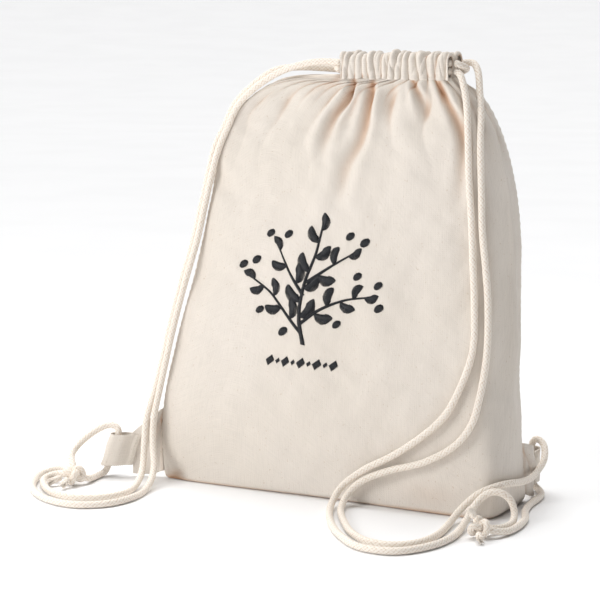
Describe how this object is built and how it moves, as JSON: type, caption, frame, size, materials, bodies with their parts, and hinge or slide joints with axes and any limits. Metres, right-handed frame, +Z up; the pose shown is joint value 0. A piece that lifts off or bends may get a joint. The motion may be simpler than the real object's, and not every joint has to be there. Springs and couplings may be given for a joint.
{
  "type": "drawstring backpack",
  "caption": "Cotton drawstring backpack standing filled, its mouth gathered on two cords that run down to corner loops and end in knots.",
  "frame": {"origin": "on the floor under the middle of the bag's base, on the flat underside of the front panel", "axes": "+Z up to the gathered mouth, -Y towards the embroidered front, +X towards the right of a viewer who faces the front"},
  "size_m": [0.4732, 0.2645, 0.4014],
  "materials": {
    "cotton": "matte",
    "rope": "matte",
    "tape": "matte",
    "white_thread": "satin",
    "black_thread": "satin"
  },
  "bodies": {
    "bag": {"front_panel": "cotton", "back_panel": "cotton", "left_side_seam": "white_thread", "right_side_seam": "white_thread", "bottom_seam": "white_thread", "left_tab": "tape", "right_tab": "tape", "left_tab_front_stitching": "white_thread", "left_tab_back_stitching": "white_thread", "right_tab_front_stitching": "white_thread", "right_tab_back_stitching": "white_thread", "left_cord_turn": "rope", "right_cord_turn": "rope", "left_front_lead": "rope", "left_back_lead": "rope", "right_front_lead": "rope", "right_back_lead": "rope", "embroidered_motif": "black_thread", "embroidered_bar": "black_thread"},
    "front_lip": {"front_casing": "cotton", "front_casing_stitching": "white_thread", "left_cord_front_run": "rope", "right_cord_front_run": "rope"},
    "back_lip": {"back_casing": "cotton", "back_casing_stitching": "white_thread", "left_cord_back_run": "rope", "right_cord_back_run": "rope"},
    "left_strap": {"left_front_strap": "rope", "left_back_strap": "rope", "left_tab_cord": "rope", "left_knot": "rope", "left_tail_1": "rope", "left_tail_2": "rope"},
    "right_strap": {"right_front_strap": "rope", "right_back_strap": "rope", "right_knot": "rope", "right_tail_1": "rope", "right_tail_2": "rope"}
  },
  "joints": [
    {"name": "front_lip_open", "type": "hinge", "parent": "bag", "child": "front_lip", "pos_m": [0.0375, 0.014, 0.38], "axis": [1, 0, 0], "range_deg": [0, 20]},
    {"name": "back_lip_open", "type": "hinge", "parent": "bag", "child": "back_lip", "pos_m": [0.0375, 0.044, 0.38], "axis": [-1, 0, 0], "range_deg": [0, 20]},
    {"name": "left_strap_swing", "type": "hinge", "parent": "bag", "child": "left_strap", "pos_m": [-0.2231, -0.055, 0.026], "axis": [-0.3758, -0.161, -0.9126], "range_deg": [0, 28]},
    {"name": "right_strap_swing", "type": "hinge", "parent": "bag", "child": "right_strap", "pos_m": [0.1535, 0.0734, 0.024], "axis": [-0.1119, -0.1547, 0.9816], "range_deg": [0, 25]}
  ]
}
